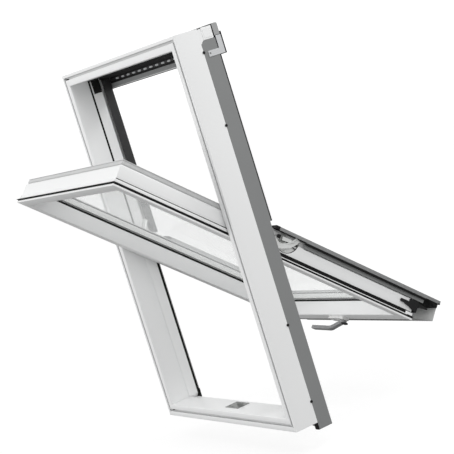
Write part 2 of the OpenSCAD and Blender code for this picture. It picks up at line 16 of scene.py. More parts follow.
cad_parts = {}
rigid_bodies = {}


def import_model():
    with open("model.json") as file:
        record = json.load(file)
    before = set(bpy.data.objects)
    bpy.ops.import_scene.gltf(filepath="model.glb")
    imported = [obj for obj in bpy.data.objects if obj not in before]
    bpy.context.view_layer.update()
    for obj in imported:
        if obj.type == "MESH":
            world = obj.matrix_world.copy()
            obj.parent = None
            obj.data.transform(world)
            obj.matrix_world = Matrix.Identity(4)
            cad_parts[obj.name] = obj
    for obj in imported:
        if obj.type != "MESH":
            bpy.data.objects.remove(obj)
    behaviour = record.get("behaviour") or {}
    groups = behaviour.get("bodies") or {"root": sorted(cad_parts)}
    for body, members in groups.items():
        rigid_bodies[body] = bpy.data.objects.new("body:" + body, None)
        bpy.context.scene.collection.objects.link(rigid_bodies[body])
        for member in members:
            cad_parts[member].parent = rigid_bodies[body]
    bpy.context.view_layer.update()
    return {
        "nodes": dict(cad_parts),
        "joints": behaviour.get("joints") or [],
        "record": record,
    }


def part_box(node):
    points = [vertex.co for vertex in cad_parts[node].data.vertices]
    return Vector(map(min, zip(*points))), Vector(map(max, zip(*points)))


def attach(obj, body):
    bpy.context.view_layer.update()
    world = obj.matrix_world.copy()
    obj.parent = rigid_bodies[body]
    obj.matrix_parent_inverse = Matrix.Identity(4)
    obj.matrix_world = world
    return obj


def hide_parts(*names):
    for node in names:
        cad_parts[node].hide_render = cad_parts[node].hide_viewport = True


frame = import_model()

# %% [markdown]
# ## Measures
# Everything is worked out from the fixed frame's outer size, the widths of its members and the
# pivot of the sash. Places on the sash are given as (x, q, s): across, outwards from its
# interior face and up along it, from its centre. The joint's range says how far it stands open,
# because its lower end is the closed place.

# %% Driving sizes
MM = 0.001
HALF_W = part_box("frame_stile_right")[1].x
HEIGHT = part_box("frame_head")[1].z
STILE_W = HALF_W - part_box("sash_stile_right")[1].x - 2.5 * MM
HEAD_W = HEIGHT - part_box("frame_head")[0].z
SILL_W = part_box("frame_sill")[1].z
FRAME_D = 106 * MM
RIDGE_W = 22 * MM
RIDGE_Y = FRAME_D + 16 * MM
SHEET = 1.5 * MM
CLAD_Y = 77 * MM
CLAD_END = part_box("frame_stile_right")[1].z - 36 * MM
SASH_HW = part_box("sash_stile_right")[1].x
SASH_HH = HEIGHT / 2 - 51 * MM
SASH_W = 33 * MM
SASH_BW = 48 * MM
PIVOT = next(j for j in frame["joints"] if j["name"] == "sash_pivot")
OPEN = math.radians(-PIVOT["range_deg"][0])
PIVOT_AT = np.array(PIVOT["pos_m"])
PIVOT_Q = 127.9 * MM
PIVOT_S = 8 * MM
print("frame", round(2 * HALF_W, 3), "by", round(HEIGHT, 3), "m; open", math.degrees(OPEN), "degrees")

# %% From the sash's own measures to the row frame
def sash_point(x, q, s):
    """A point of the sash: measured from the pivot, then turned about X by the opening angle."""
    q = np.asarray(q, float) - PIVOT_Q
    s = np.asarray(s, float) - PIVOT_S
    y = PIVOT_AT[1] + q * math.cos(OPEN) - s * math.sin(OPEN)
    z = PIVOT_AT[2] + q * math.sin(OPEN) + s * math.cos(OPEN)
    return np.stack(np.broadcast_arrays(np.asarray(x, float), y, z), axis=-1)


# %% [markdown]
# ## Camera
# The camera stands indoors, to the right of the window and a little above its middle, and is
# turned about its own line of sight, so that the upright frame leans to the left.

# %% Camera
def make_camera(at, aim, roll_deg, lens):
    """Looks from at to aim; the level camera is then turned about its line of sight."""
    data = bpy.data.cameras.new("camera")
    data.lens = lens
    data.sensor_width = 36
    data.clip_start = 0.05
    data.clip_end = 200
    camera = bpy.data.objects.new("camera", data)
    bpy.context.scene.collection.objects.link(camera)
    turn = (Vector(aim) - Vector(at)).to_track_quat("-Z", "Y").to_matrix().to_4x4()
    camera.matrix_world = Matrix.Translation(at) @ turn @ Matrix.Rotation(math.radians(roll_deg), 4, "Z")
    bpy.context.scene.camera = camera


make_camera(at=(3.7694, -1.9351, 1.0729), aim=(0.0, 0.2028, 0.5760), roll_deg=-17.27, lens=110.4)

# %% [markdown]
# ## Studio
# A product of white plastic needs a bright, even room. The sky is a dome that is light above
# and dim below, so that undersides stay readable. One soft lamp stands high on the camera's
# right, one lights the faces that look into the room, and one outdoors, high over the roof,
# throws the covers' shadows down the sash.

# %% Sky and lamps
def make_world(horizon, zenith, below):
    """Strength climbs from below to the horizon's value, then falls slowly towards the zenith."""
    world = bpy.data.worlds.new("studio")
    bpy.context.scene.world = world
    world.use_nodes = True
    tree = world.node_tree
    place = tree.nodes.new("ShaderNodeTexCoord")
    split = tree.nodes.new("ShaderNodeSeparateXYZ")
    ramp = tree.nodes.new("ShaderNodeMapRange")
    ramp.interpolation_type = "SMOOTHSTEP"
    ramp.inputs["From Min"].default_value = -0.35
    ramp.inputs["From Max"].default_value = -0.02
    ramp.inputs["To Min"].default_value = below
    ramp.inputs["To Max"].default_value = horizon
    fall = tree.nodes.new("ShaderNodeMapRange")
    fall.inputs["To Min"].default_value = 1.0
    fall.inputs["To Max"].default_value = zenith / horizon
    both = tree.nodes.new("ShaderNodeMath")
    both.operation = "MULTIPLY"
    tree.links.new(place.outputs["Generated"], split.inputs[0])
    tree.links.new(split.outputs["Z"], ramp.inputs["Value"])
    tree.links.new(split.outputs["Z"], fall.inputs["Value"])
    tree.links.new(ramp.outputs[0], both.inputs[0])
    tree.links.new(fall.outputs[0], both.inputs[1])
    tree.links.new(both.outputs[0], tree.nodes["Background"].inputs["Strength"])
    tree.nodes["Background"].inputs["Color"].default_value = (1, 1, 1, 1)


def make_lamp(name, at, aim, size, power):
    data = bpy.data.lights.new(name, "AREA")
    data.shape = "DISK"
    data.size = size
    data.energy = power
    lamp = bpy.data.objects.new(name, data)
    lamp.location = at
    lamp.rotation_euler = (Vector(aim) - Vector(at)).to_track_quat("-Z", "Y").to_euler()
    bpy.context.scene.collection.objects.link(lamp)


make_world(horizon=1.14, zenith=0.6, below=0.22)
make_lamp("side_lamp", at=(2.6, -0.2, 3.2), aim=(0.2, 0.1, 0.6), size=1.6, power=26)
make_lamp("room_lamp", at=(-1.2, -3.6, 1.3), aim=(0, 0, 0.6), size=2.4, power=34)
make_lamp("outdoor_lamp", at=(1.5, 2.5, 3.4), aim=(0.2, 0.3, 0.5), size=1.0, power=34)
bpy.context.scene.view_settings.view_transform = "Standard"

# %% [markdown]
# ## Shader words
# Finishes are written as sums and products of sockets. A small class wraps a socket so that
# `0.4 + 0.1 * noise` adds the Math nodes by itself, and one method makes every other node.

# %% Shader helper
class Value:
    """A socket that can be added, subtracted, multiplied and clamped."""

    def __init__(self, kit, socket):
        self.kit, self.socket = kit, socket

    def _math(self, operation, first, second, clamp=False):
        settings = {"operation": operation, "use_clamp": clamp}
        made = self.kit.node("ShaderNodeMath", settings, {0: first, 1: second})
        return Value(self.kit, made.outputs[0])

    def __add__(self, other):
        return self._math("ADD", self, other)

    def __sub__(self, other):
        return self._math("SUBTRACT", self, other)

    def __rsub__(self, other):
        return self._math("SUBTRACT", other, self)

    def __mul__(self, other):
        return self._math("MULTIPLY", self, other)

    __radd__, __rmul__ = __add__, __mul__

    def size(self):
        return self._math("ABSOLUTE", self, 0.0)

    def least(self, other):
        return self._math("MINIMUM", self, other)

    def clamped(self):
        return self._math("ADD", self, 0.0, clamp=True)


# %% [markdown]
# A finish starts as noise on the piece's own coordinates, so its pattern moves with the sash. The
# noise is then mixed into colour, roughness and a shallow bump.

# %% One finish
class Finish:
    """One material: its node tree, its Principled shader and its Object coordinates."""

    def __init__(self, name):
        self.material = bpy.data.materials.new(name)
        self.material.use_nodes = True
        self.tree = self.material.node_tree
        self.shader = self.tree.nodes["Principled BSDF"]
        self.place = self.tree.nodes.new("ShaderNodeTexCoord").outputs["Object"]

    def node(self, kind, settings=None, inputs=None):
        made = self.tree.nodes.new(kind)
        for key, value in (settings or {}).items():
            setattr(made, key, value)
        for key, value in (inputs or {}).items():
            self.put(made.inputs[key], value)
        return made

    def put(self, socket, value):
        if isinstance(value, Value):
            value = value.socket
        if isinstance(value, bpy.types.NodeSocket):
            self.tree.links.new(value, socket)
        else:
            socket.default_value = value

    def set(self, **values):
        for key, value in values.items():
            self.put(self.shader.inputs[key.replace("_", " ")], value)
        return self

    def noise(self, scale, detail=3.0, stretch=(1, 1, 1), turn=(0, 0, 0)):
        """Noise on Object coordinates, turned and then stretched along the axes."""
        inputs = {"Vector": self.place, "Rotation": turn, "Scale": stretch}
        mapped = self.node("ShaderNodeMapping", {}, inputs)
        made = self.node("ShaderNodeTexNoise", {}, {"Vector": mapped.outputs[0], "Scale": scale,
                                                    "Detail": detail})
        return Value(self, made.outputs[0])

    def mix(self, factor, first, second):
        """A colour between two others."""
        made = self.node("ShaderNodeMix", {"data_type": "RGBA"}, {0: factor, 6: (*first, 1), 7: (*second, 1)})
        return made.outputs[2]

    def bump(self, height, strength, distance):
        made = self.node("ShaderNodeBump", {}, {"Height": height, "Strength": strength, "Distance": distance})
        self.put(self.shader.inputs["Normal"], made.outputs[0])
        return self


# %% [markdown]
# ## Finishes
# White window plastic is satin and almost flat: a slow change of tone, a roughness that wanders
# a little, and the faint ripple that extrusion leaves along each length. Its colour hardly
# moves, because a stronger pattern would read as dirt. Little light reaches the bottom of the
# frame's lining groove, so the colour is darker there.

# %% White plastic
GROOVE_EDGE = (5 * MM, 25 * MM)
GROOVE_DEPTH = (0.8 * MM, 9.5 * MM)
FADE_EDGE, FADE_MOUTH, FADE_FLOOR = 500, 1000, 3000
GROOVE_DUSK = 0.74


def groove_shade(f):
    """1 inside the frame's lining groove: its distance e from the outer edge and its depth y are
    both within the groove, and e is the least of HALF_W - |x|, HEIGHT - z and z. Each limit fades
    at a rate given in whole steps per metre."""
    spot = f.node("ShaderNodeTexCoord").outputs["Object"]
    parts = f.node("ShaderNodeSeparateXYZ", {}, {"Vector": spot}).outputs
    x, y, z = (Value(f, part) for part in parts)
    edge = (HALF_W - x.size()).least(HEIGHT - z).least(z)
    across = ((edge - GROOVE_EDGE[0]) * FADE_EDGE).clamped() * ((GROOVE_EDGE[1] - edge) * FADE_EDGE).clamped()
    mouth = ((y - GROOVE_DEPTH[0]) * FADE_MOUTH).clamped()
    return across * mouth * ((GROOVE_DEPTH[1] - y) * FADE_FLOOR).clamped()


def white_plastic(name, light, shade, rough, grooved=False):
    f = Finish(name)
    slow = f.noise(3.0, 2.0)
    ripple = f.noise(90.0, 2.0, stretch=(1.0, 1.0, 0.06))
    grain = f.noise(1400.0, 2.0)
    colour = f.mix(slow, shade, light)
    if grooved:
        dusk = tuple(GROOVE_DUSK * part for part in shade)
        tones = {0: groove_shade(f), 6: colour, 7: (*dusk, 1)}
        colour = f.node("ShaderNodeMix", {"data_type": "RGBA"}, tones).outputs[2]
    f.set(Base_Color=colour, Roughness=rough - 0.05 + 0.1 * ripple, Specular_IOR_Level=0.5)
    return f.bump(0.5 * ripple + 0.25 * grain, 0.06, 0.0006).material


# %% [markdown]
# Coated sheet metal has a fine leather-like texture from its powder coat. The ribbed covers and
# caps are bright satin metal instead, with drawing lines along their length.

# %% Metals
def coated_metal(name, light, shade, rough, metallic=0.0):
    f = Finish(name)
    peel = f.noise(900.0, 3.0)
    cloud = f.noise(6.0, 3.0)
    f.set(Base_Color=f.mix(cloud, shade, light), Roughness=rough - 0.06 + 0.12 * peel, Metallic=metallic)
    return f.bump(peel, 0.12, 0.0005).material


def drawn_metal(name, light, shade, rough, turn, metallic=0.85):
    """Fine lines along the sash or the frame: noise stretched thin along one turned axis."""
    f = Finish(name)
    lines = f.noise(700.0, 3.0, stretch=(1.0, 1.0, 0.012), turn=turn)
    cloud = f.noise(8.0, 3.0)
    f.set(Base_Color=f.mix(0.6 * cloud + 0.4 * lines, shade, light), Metallic=metallic,
          Roughness=rough - 0.08 + 0.16 * lines)
    return f.bump(lines, 0.1, 0.0003).material


# %% [markdown]
# Rubber is matt, with a slightly dusty bloom. Hard black plastic is a shade glossier.
# Glass mirrors at a glancing angle, so its alpha follows the Fresnel curve. In a bright studio it
# also carries a pale veil of reflected light, which a little emission stands in for.

# %% Rubber, black plastic and glass
def rubber(name, light, shade, rough):
    f = Finish(name)
    bloom = f.noise(60.0, 4.0)
    grain = f.noise(1600.0, 2.0)
    f.set(Base_Color=f.mix(bloom, shade, light), Roughness=rough - 0.08 + 0.16 * bloom,
          Specular_IOR_Level=0.22)
    return f.bump(grain, 0.15, 0.0004).material


def pane_glass(name):
    f = Finish(name)
    gloss = Value(f, f.node("ShaderNodeFresnel", {}, {"IOR": 1.5}).outputs[0])
    film = f.noise(14.0, 3.0)
    f.set(Base_Color=f.mix(film, (0.93, 0.945, 0.945), (0.96, 0.97, 0.968)), Roughness=0.02 + 0.02 * film,
          Emission_Color=(0.97, 0.985, 0.98, 1), Emission_Strength=0.22,
          Alpha=(0.07 + 0.14 * gloss + 0.02 * film).clamped())
    f.material.surface_render_method = "BLENDED"
    return f.material


TURN_SASH = (-OPEN, 0, 0)
FINISH = {
    "frame_plastic": white_plastic("frame_plastic", (0.86, 0.865, 0.865), (0.83, 0.835, 0.835), 0.38, True),
    "sash_plastic": white_plastic("sash_plastic", (0.87, 0.875, 0.875), (0.84, 0.845, 0.845), 0.36),
    "grey_cladding": coated_metal("grey_cladding", (0.235, 0.24, 0.24), (0.21, 0.215, 0.215), 0.5),
    "dark_metal": coated_metal("dark_metal", (0.020, 0.020, 0.021), (0.012, 0.012, 0.013), 0.5),
    "cover_aluminium": drawn_metal("cover_aluminium", (0.41, 0.415, 0.415), (0.31, 0.315, 0.315), 0.42,
                                   TURN_SASH, 0.4),
    "cap_aluminium": drawn_metal("cap_aluminium", (0.66, 0.665, 0.665), (0.54, 0.545, 0.545), 0.42,
                                 TURN_SASH, 0.35),
    "spacer_metal": drawn_metal("spacer_metal", (0.8, 0.81, 0.8), (0.72, 0.73, 0.72), 0.5, TURN_SASH, 0.3),
    "black_rubber": rubber("black_rubber", (0.007, 0.007, 0.007), (0.003, 0.003, 0.003), 0.66),
    "black_plastic": rubber("black_plastic", (0.012, 0.012, 0.0125), (0.006, 0.006, 0.0065), 0.5),
    "handle_metal": coated_metal("handle_metal", (0.29, 0.29, 0.295), (0.25, 0.25, 0.255), 0.45, 0.2),
    "handle_plastic": white_plastic("handle_plastic", (0.8, 0.8, 0.795), (0.76, 0.76, 0.755), 0.4),
    "bracket_steel": coated_metal("bracket_steel", (0.6, 0.61, 0.62), (0.55, 0.56, 0.57), 0.42, 0.2),
    "keeper_steel": drawn_metal("keeper_steel", (0.27, 0.28, 0.27), (0.2, 0.205, 0.2), 0.4, (0, 0, 0), 0.5),
    "hinge_steel": drawn_metal("hinge_steel", (0.80, 0.81, 0.80), (0.66, 0.67, 0.66), 0.38, TURN_SASH, 0.35),
    "pane_glass": pane_glass("pane_glass"),
}
print(len(FINISH), "finishes")

# %% [markdown]
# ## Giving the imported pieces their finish
# Pieces whose shape is already right only get a material. The record names each one's slot.

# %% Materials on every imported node
SLOT_OF = {part["node"]: part["material_slot"] for part in frame["record"]["subparts"]}


def dress(obj, slot):
    obj.data.materials.clear()
    obj.data.materials.append(FINISH[slot])


for node_name, node_obj in frame["nodes"].items():
    dress(node_obj, SLOT_OF[node_name])


# %% [markdown]
# ## Section tools
# A window is mostly long bars of one section, cut at 45 degrees. A section is a closed list of
# corners; `soften` replaces each corner by a small parabola that starts and ends a radius away,
# which is how an extruded edge looks. `ribs` draws the fine ridges of a metal or rubber strip.

# %% Sections
def soften(corners, radius, steps=3):
    """Each corner P becomes (1-t)^2 A + 2t(1-t) P + t^2 B, with A and B a radius before and after it."""
    p = np.asarray(corners, float)
    back = np.roll(p, 1, 0) - p
    ahead = np.roll(p, -1, 0) - p
    len_back = np.linalg.norm(back, axis=1, keepdims=True)
    len_ahead = np.linalg.norm(ahead, axis=1, keepdims=True)
    r = np.broadcast_to(np.asarray(radius, float), len(p))[:, None]
    a = p + back / len_back * np.minimum(r, 0.45 * len_back)
    b = p + ahead / len_ahead * np.minimum(r, 0.45 * len_ahead)
    t = np.linspace(0, 1, steps + 1)[None, :, None]
    return ((1 - t) ** 2 * a[:, None] + 2 * t * (1 - t) * p[:, None] + t ** 2 * b[:, None]).reshape(-1, 2)


def ribs(start, end, pitch, depth):
    """Points from start to end, stepping in by depth on the right-hand side once in each pitch."""
    start, end = np.asarray(start, float), np.asarray(end, float)
    run = end - start
    length = np.linalg.norm(run)
    count = max(1, int(round(length / pitch)))
    side = np.array([run[1], -run[0]]) / length * depth
    along = (np.arange(count)[:, None] + np.array([0.12, 0.3, 0.7, 0.88])[None, :]) / count
    inward = np.broadcast_to(np.array([0.0, 1.0, 1.0, 0.0]), along.shape)
    points = start + along.reshape(-1, 1) * run + inward.reshape(-1, 1) * side
    return [tuple(v) for v in np.vstack([start, points, end])]


# %% [markdown]
# A bar is its section drawn twice, once at each end. Where a bar is mitred, the end moves in
# proportion to the distance from the outer edge, so that two neighbours meet in one slanting
# line. The mesh is closed with a cap at each end and gets a tiny bevel there, so the joint
# shows as the fine line of a welded corner.

# %% Meshes from arrays
SHARP = math.radians(35)


def round_edges(piece, width, harden=False):
    """A live bevel on every edge that turns by more than 50 degrees."""
    edge = piece.modifiers.new("edge", "BEVEL")
    edge.width = width
    edge.segments = 2
    edge.limit_method = "ANGLE"
    edge.angle_limit = math.radians(50)
    edge.harden_normals = harden


def make_piece(name, points, faces, body, slot, replaced=(), bevel=0.0):
    """Puts points and faces into a mesh, turns its faces outwards and sets what it rides on."""
    mesh = bpy.data.meshes.new(name)
    mesh.from_pydata(np.asarray(points).reshape(-1, 3).tolist(), [], faces)
    work = bmesh.new()
    work.from_mesh(mesh)
    bmesh.ops.remove_doubles(work, verts=work.verts, dist=1e-6)
    bmesh.ops.recalc_face_normals(work, faces=work.faces)
    work.to_mesh(mesh)
    work.free()
    mesh.shade_smooth()
    mesh.set_sharp_from_angle(angle=SHARP)
    piece = bpy.data.objects.new(name, mesh)
    bpy.context.scene.collection.objects.link(piece)
    if bevel:
        round_edges(piece, bevel)
    dress(piece, slot)
    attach(piece, body)
    if replaced:
        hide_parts(*replaced)
    print(name, "on the", body, "body:", len(mesh.polygons), "faces")
    return piece


def tube_faces(rings, size, first=0):
    """Quads between neighbouring rings of one closed section, and a cap on each end."""
    i = np.arange(size)
    j = (i + 1) % size
    quads = [np.stack([k * size + i, k * size + j, (k + 1) * size + j, (k + 1) * size + i], 1) + first
             for k in range(rings - 1)]
    faces = np.vstack(quads).tolist()
    faces.append((i[::-1] + first).tolist())
    faces.append((i + (rings - 1) * size + first).tolist())
    return faces


def bars(name, sections, body, slot, replaced, bevel=0.3 * MM):
    """Several bars as one piece. Each is (first end, second end), two arrays of the same length."""
    points, faces, first = [], [], 0
    for one, two in sections:
        points += [one, two]
        faces += tube_faces(2, len(one), first)
        first += 2 * len(one)
    return make_piece(name, np.vstack(points), faces, body, slot, replaced, bevel)


# %% [markdown]
# ## The fixed frame
# Four white bars, each with the lining groove in its interior face, a seal groove in its reveal,
# a drain channel and an outer ridge. The corners are welded: the bars end in a mitre, with a
# hairline between them.

# %% Section of the frame
GROOVE_FROM, GROOVE_TO, GROOVE_IN = 9.5 * MM, 18 * MM, 9 * MM


def frame_section(width):
    """Corners of the frame's section as (inwards from the outer edge, outwards from the room)."""
    d, g = FRAME_D, GROOVE_IN
    return soften([(0, 0), (GROOVE_FROM, 0), (GROOVE_FROM, g), (GROOVE_TO, g), (GROOVE_TO, 0), (width, 0),
                   (width, 66 * MM), (width - 2 * MM, 66 * MM), (width - 2 * MM, 72 * MM), (width, 72 * MM),
                   (width, d), (RIDGE_W, d), (RIDGE_W, RIDGE_Y), (SHEET, RIDGE_Y), (SHEET, CLAD_Y),
                   (0, CLAD_Y)],
                  [1.6 * MM, 0.5 * MM, 0.3 * MM, 0.3 * MM, 0.5 * MM, 2.6 * MM, 0.5 * MM, 0.3 * MM, 0.3 * MM,
                   0.5 * MM, 1.5 * MM, 0.8 * MM, 0.8 * MM, 0.8 * MM, 0.3 * MM, 0.5 * MM])


def prism(outline, x0, x1, place=None):
    """The two ends of a solid with one outline, from x0 to x1; place turns sash measures into points."""
    p = np.asarray(outline, float)
    if place is None:
        return tuple(np.stack([np.full(len(p), x), p[:, 0], p[:, 1]], 1) for x in (x0, x1))
    return tuple(place(np.full(len(p), x), p[:, 0], p[:, 1]) for x in (x0, x1))


# %% [markdown]
# The sides stand. Each foot rises with the sill's mitre and each head end falls with the head's,
# a hairline short of it. The outer ridge stops where the side cladding ends.

# %% Frame sides
SEAM = 0.12 * MM
BLOCK_Y = 89 * MM
SIDES = ((1, "right"), (-1, "left"))


def stile_bar(section, side, bottom, top):
    """A bar that stands: bottom and top are functions of the distance from the outer edge."""
    w, y = section[:, 0], section[:, 1]
    x = side * (HALF_W - w)
    return np.stack([x, y, bottom(w)], 1), np.stack([x, y, top(w)], 1)


def foot(w):
    return w * SILL_W / STILE_W + SEAM


def head_end(w):
    return HEIGHT - w * HEAD_W / STILE_W - SEAM


stile = frame_section(STILE_W)
for side, tag in SIDES:
    above = stile[:, 1] > FRAME_D + MM
    low, high = stile_bar(stile, side, foot, head_end)
    high[:, 2] = np.where(above, np.minimum(high[:, 2], CLAD_END), high[:, 2])
    # Above the cladding the side face runs out flush to the end block
    flush = [(CLAD_Y - MM, HEIGHT - 2.5 * MM), (CLAD_Y - MM, CLAD_END - 9.7 * MM),
             (CLAD_Y + 0.8 * MM, CLAD_END - 9.7 * MM), (CLAD_Y + 10.8 * MM, CLAD_END + 0.3 * MM),
             (BLOCK_Y - 0.6 * MM, CLAD_END + 0.3 * MM), (BLOCK_Y - 0.6 * MM, HEIGHT - 2.5 * MM)]
    fill = prism(soften(flush, 0.4 * MM), side * (HALF_W - 2.2 * MM), side * (HALF_W - 0.02 * MM))
    bars(f"stile_{tag}", [(low, high), fill], "frame", "frame_plastic", [f"frame_stile_{tag}"])

# %% [markdown]
# The head and the sill lie. Their ends follow the same mitres, as a ratio of the two widths. The
# sill steps down towards the outside, so that water runs off it.

# %% Head and sill
def level_bar(section, at_left, at_right, flip, height):
    """A bar that lies: its distances count down from height (flip -1) or up from it (flip 1)."""
    w, y = section[:, 0], section[:, 1]
    z = height + flip * w
    return np.stack([at_left(w), y, z], 1), np.stack([at_right(w), y, z], 1)


head = frame_section(HEAD_W)
head[:, 0] = np.where((head[:, 1] > CLAD_Y - MM) & (head[:, 0] < 3 * MM), 0, head[:, 0])
ratio = STILE_W / HEAD_W
ridge = head[:, 1] > FRAME_D + MM
left_x = lambda w: np.where(ridge, RIDGE_W - HALF_W + 0.2 * MM, w * ratio - HALF_W + SEAM)
right_x = lambda w: -left_x(w)
bars("head", [level_bar(head, left_x, right_x, -1, HEIGHT)], "frame", "frame_plastic", ["frame_head"])

sill = soften([(0, 0), (15 * MM, 0), (15 * MM, GROOVE_IN), (23.5 * MM, GROOVE_IN), (23.5 * MM, 0),
               (SILL_W, 0), (SILL_W, 72 * MM), (SILL_W - 10 * MM, 74 * MM), (SILL_W - 12 * MM, FRAME_D),
               (SHEET, FRAME_D), (SHEET, CLAD_Y), (0, CLAD_Y)],
              [1.6 * MM, 0.5 * MM, 0.3 * MM, 0.3 * MM, 0.5 * MM, 2.6 * MM, 2.0 * MM, 2.0 * MM, 1.5 * MM,
               0.5 * MM, 0.3 * MM, 0.5 * MM])
sill_ratio = STILE_W / SILL_W
sill_left = lambda w: w * sill_ratio - HALF_W + SEAM
sill_right = lambda w: HALF_W - w * sill_ratio - SEAM
bars("sill", [level_bar(sill, sill_left, sill_right, 1, 0.0)], "frame", "frame_plastic", ["frame_sill"])

# %% [markdown]
# ## The sash
# The same idea in the sash's own measures. All four bars share the outer steps, so the mitre runs
# at 45 degrees across the steps and then bends, because the bottom bar is wider than the sides.

# %% Sash bars
STEP = 9.5 * MM
CAP_Q = 66 * MM


def to_bottom(e, step=STEP, side=SASH_W, bottom=SASH_BW):
    """How high the mitre with the bottom bar is at distance e from the side's edge."""
    return np.where(e <= step, e, step + (e - step) * (bottom - step) / (side - step))


def to_side(e, step=STEP, side=SASH_W, bottom=SASH_BW):
    """The same mitre, read from the bottom bar."""
    return np.where(e <= step, e, step + (e - step) * (side - step) / (bottom - step))


def sash_section(w):
    m = MM
    corners = [(0, 0), (w, 0), (w, 48 * m), (w - 12 * m, 48 * m), (w - 12 * m, CAP_Q), (9.5 * m, CAP_Q),
               (6 * m, 62.5 * m), (6 * m, 24.5 * m), (9 * m, 24.5 * m), (9 * m, 22 * m), (2 * m, 22 * m),
               (2 * m, 13 * m), (6 * m, 13 * m), (6 * m, 6 * m), (0, 6 * m)]
    radii = [1.6, 3.2, 1.0, 0.3, 0.3, 1.2, 1.8, 0.9, 0.3, 0.3, 0.9, 0.9, 0.3, 0.3, 0.9]
    return soften(corners, np.array(radii) * m)


def sash_side(section, side, low, high):
    e, q = section[:, 0], section[:, 1]
    x = side * (SASH_HW - e)
    return sash_point(x, q, low(e)), sash_point(x, q, high(e))


def sash_level(section, end, edge, flip):
    """A level bar of the sash; edge is the s of its outer edge and flip points inwards."""
    e, q = section[:, 0], section[:, 1]
    x = SASH_HW - end(e)
    return sash_point(-x, q, edge + flip * e), sash_point(x, q, edge + flip * e)


# %% [markdown]
# The top bar has the sides' section. The bottom bar is wider, and on its room side a rubber strip
# takes the place of the outer edge of its flange, which is set back by the strip's width.

# %% Top and bottom of the sash
side_section = sash_section(SASH_W)
bars("sash_top", [sash_level(side_section, lambda e: e + SEAM, SASH_HH, -1)], "sash", "sash_plastic",
     ["sash_top_rail"])
bottom_section = sash_section(SASH_BW)
DRIP = 8 * MM
bottom_section[:, 0] = np.where((bottom_section[:, 1] < 6.1 * MM) & (bottom_section[:, 0] < DRIP), DRIP,
                                bottom_section[:, 0])
bars("sash_bottom", [sash_level(bottom_section, lambda e: to_side(e) + SEAM, -SASH_HH, 1)], "sash",
     "sash_plastic", ["sash_bottom_rail"])
drip = soften([(0.2 * MM, 0.3 * MM), (DRIP - 0.4 * MM, 0.3 * MM), (DRIP - 0.4 * MM, 5.9 * MM),
               (0.2 * MM, 5.9 * MM)], 0.8 * MM)
bars("drip_seal", [sash_level(drip, lambda e: e + 0.3 * MM, -SASH_HH, 1)], "sash", "black_rubber", [], 0)

# %% [markdown]
# ## Sash sides with the hinge pocket
# A half-round pocket is milled into each side bar. At height s the circle of radius R about
# (Qc, Sc) starts at q = Qc - sqrt(R^2 - (s - Sc)^2), so each ring of the bar is the plain section
# with its outer wall set back above that q. The rings crowd together where the circle is steep.

# %% Pocketed bars
POCKET = (72 * MM, -37 * MM, 44 * MM)


def pocket_section(cut):
    """Section whose outer wall stands back to 12 mm above q = cut; cut = CAP_Q leaves it whole."""
    m, w = MM, SASH_W
    wall = 6 * m + max(0.0, cut - 62.5 * m)
    corners = [(0, 0), (w, 0), (w, 48 * m), (w - 12 * m, 48 * m), (w - 12 * m, CAP_Q), (12 * m, CAP_Q),
               (12 * m, cut - 0.02 * m), (wall, cut - 0.05 * m), (6 * m, min(62.5 * m, cut - 0.1 * m)),
               (6 * m, 24.5 * m), (9 * m, 24.5 * m), (9 * m, 22 * m), (2 * m, 22 * m), (2 * m, 13 * m),
               (6 * m, 13 * m), (6 * m, 6 * m), (0, 6 * m)]
    radii = [1.6, 3.2, 1.0, 0.3, 0.3, 0.01, 0.01, 0.3, 0.3, 0.9, 0.3, 0.3, 0.9, 0.9, 0.3, 0.3, 0.9]
    return soften(corners, np.array(radii) * m)


def pocketed_side(name, side):
    qc, sc, r = POCKET
    half = math.sqrt(r ** 2 - (qc - CAP_Q) ** 2)
    turn = np.linspace(math.asin(-half / r), math.asin(half / r), 41)
    whole = pocket_section(CAP_Q)
    e, q = whole[:, 0], whole[:, 1]
    rings = [sash_point(side * (SASH_HW - e), q, to_bottom(e) - SASH_HH + SEAM),
             sash_point(side * (SASH_HW - e), q, np.full(len(e), sc - half - 0.1 * MM))]
    for a in turn:
        ring = pocket_section(min(CAP_Q, qc - r * math.cos(a)))
        at_s = np.full(len(e), sc + r * math.sin(a))
        rings.append(sash_point(side * (SASH_HW - ring[:, 0]), ring[:, 1], at_s))
    rings.append(sash_point(side * (SASH_HW - e), q, np.full(len(e), sc + half + 0.1 * MM)))
    rings.append(sash_point(side * (SASH_HW - e), q, SASH_HH - e - SEAM))
    return make_piece(name, np.vstack(rings), tube_faces(len(rings), len(e)), "sash", "sash_plastic",
                      [name.replace("side", "stile")], 0.0)


for side, tag in SIDES:
    pocketed_side(f"sash_side_{tag}", side)

# %% [markdown]
# ## Glazing caps and side covers
# Aluminium profiles with fine ribs on the faces that look sideways, so they catch the light as
# bundles of thin lines. The caps hold the glass on all four sides.

# %% Glazing caps
CAP_TOP = 82.5 * MM
COVER_TOP = 93 * MM


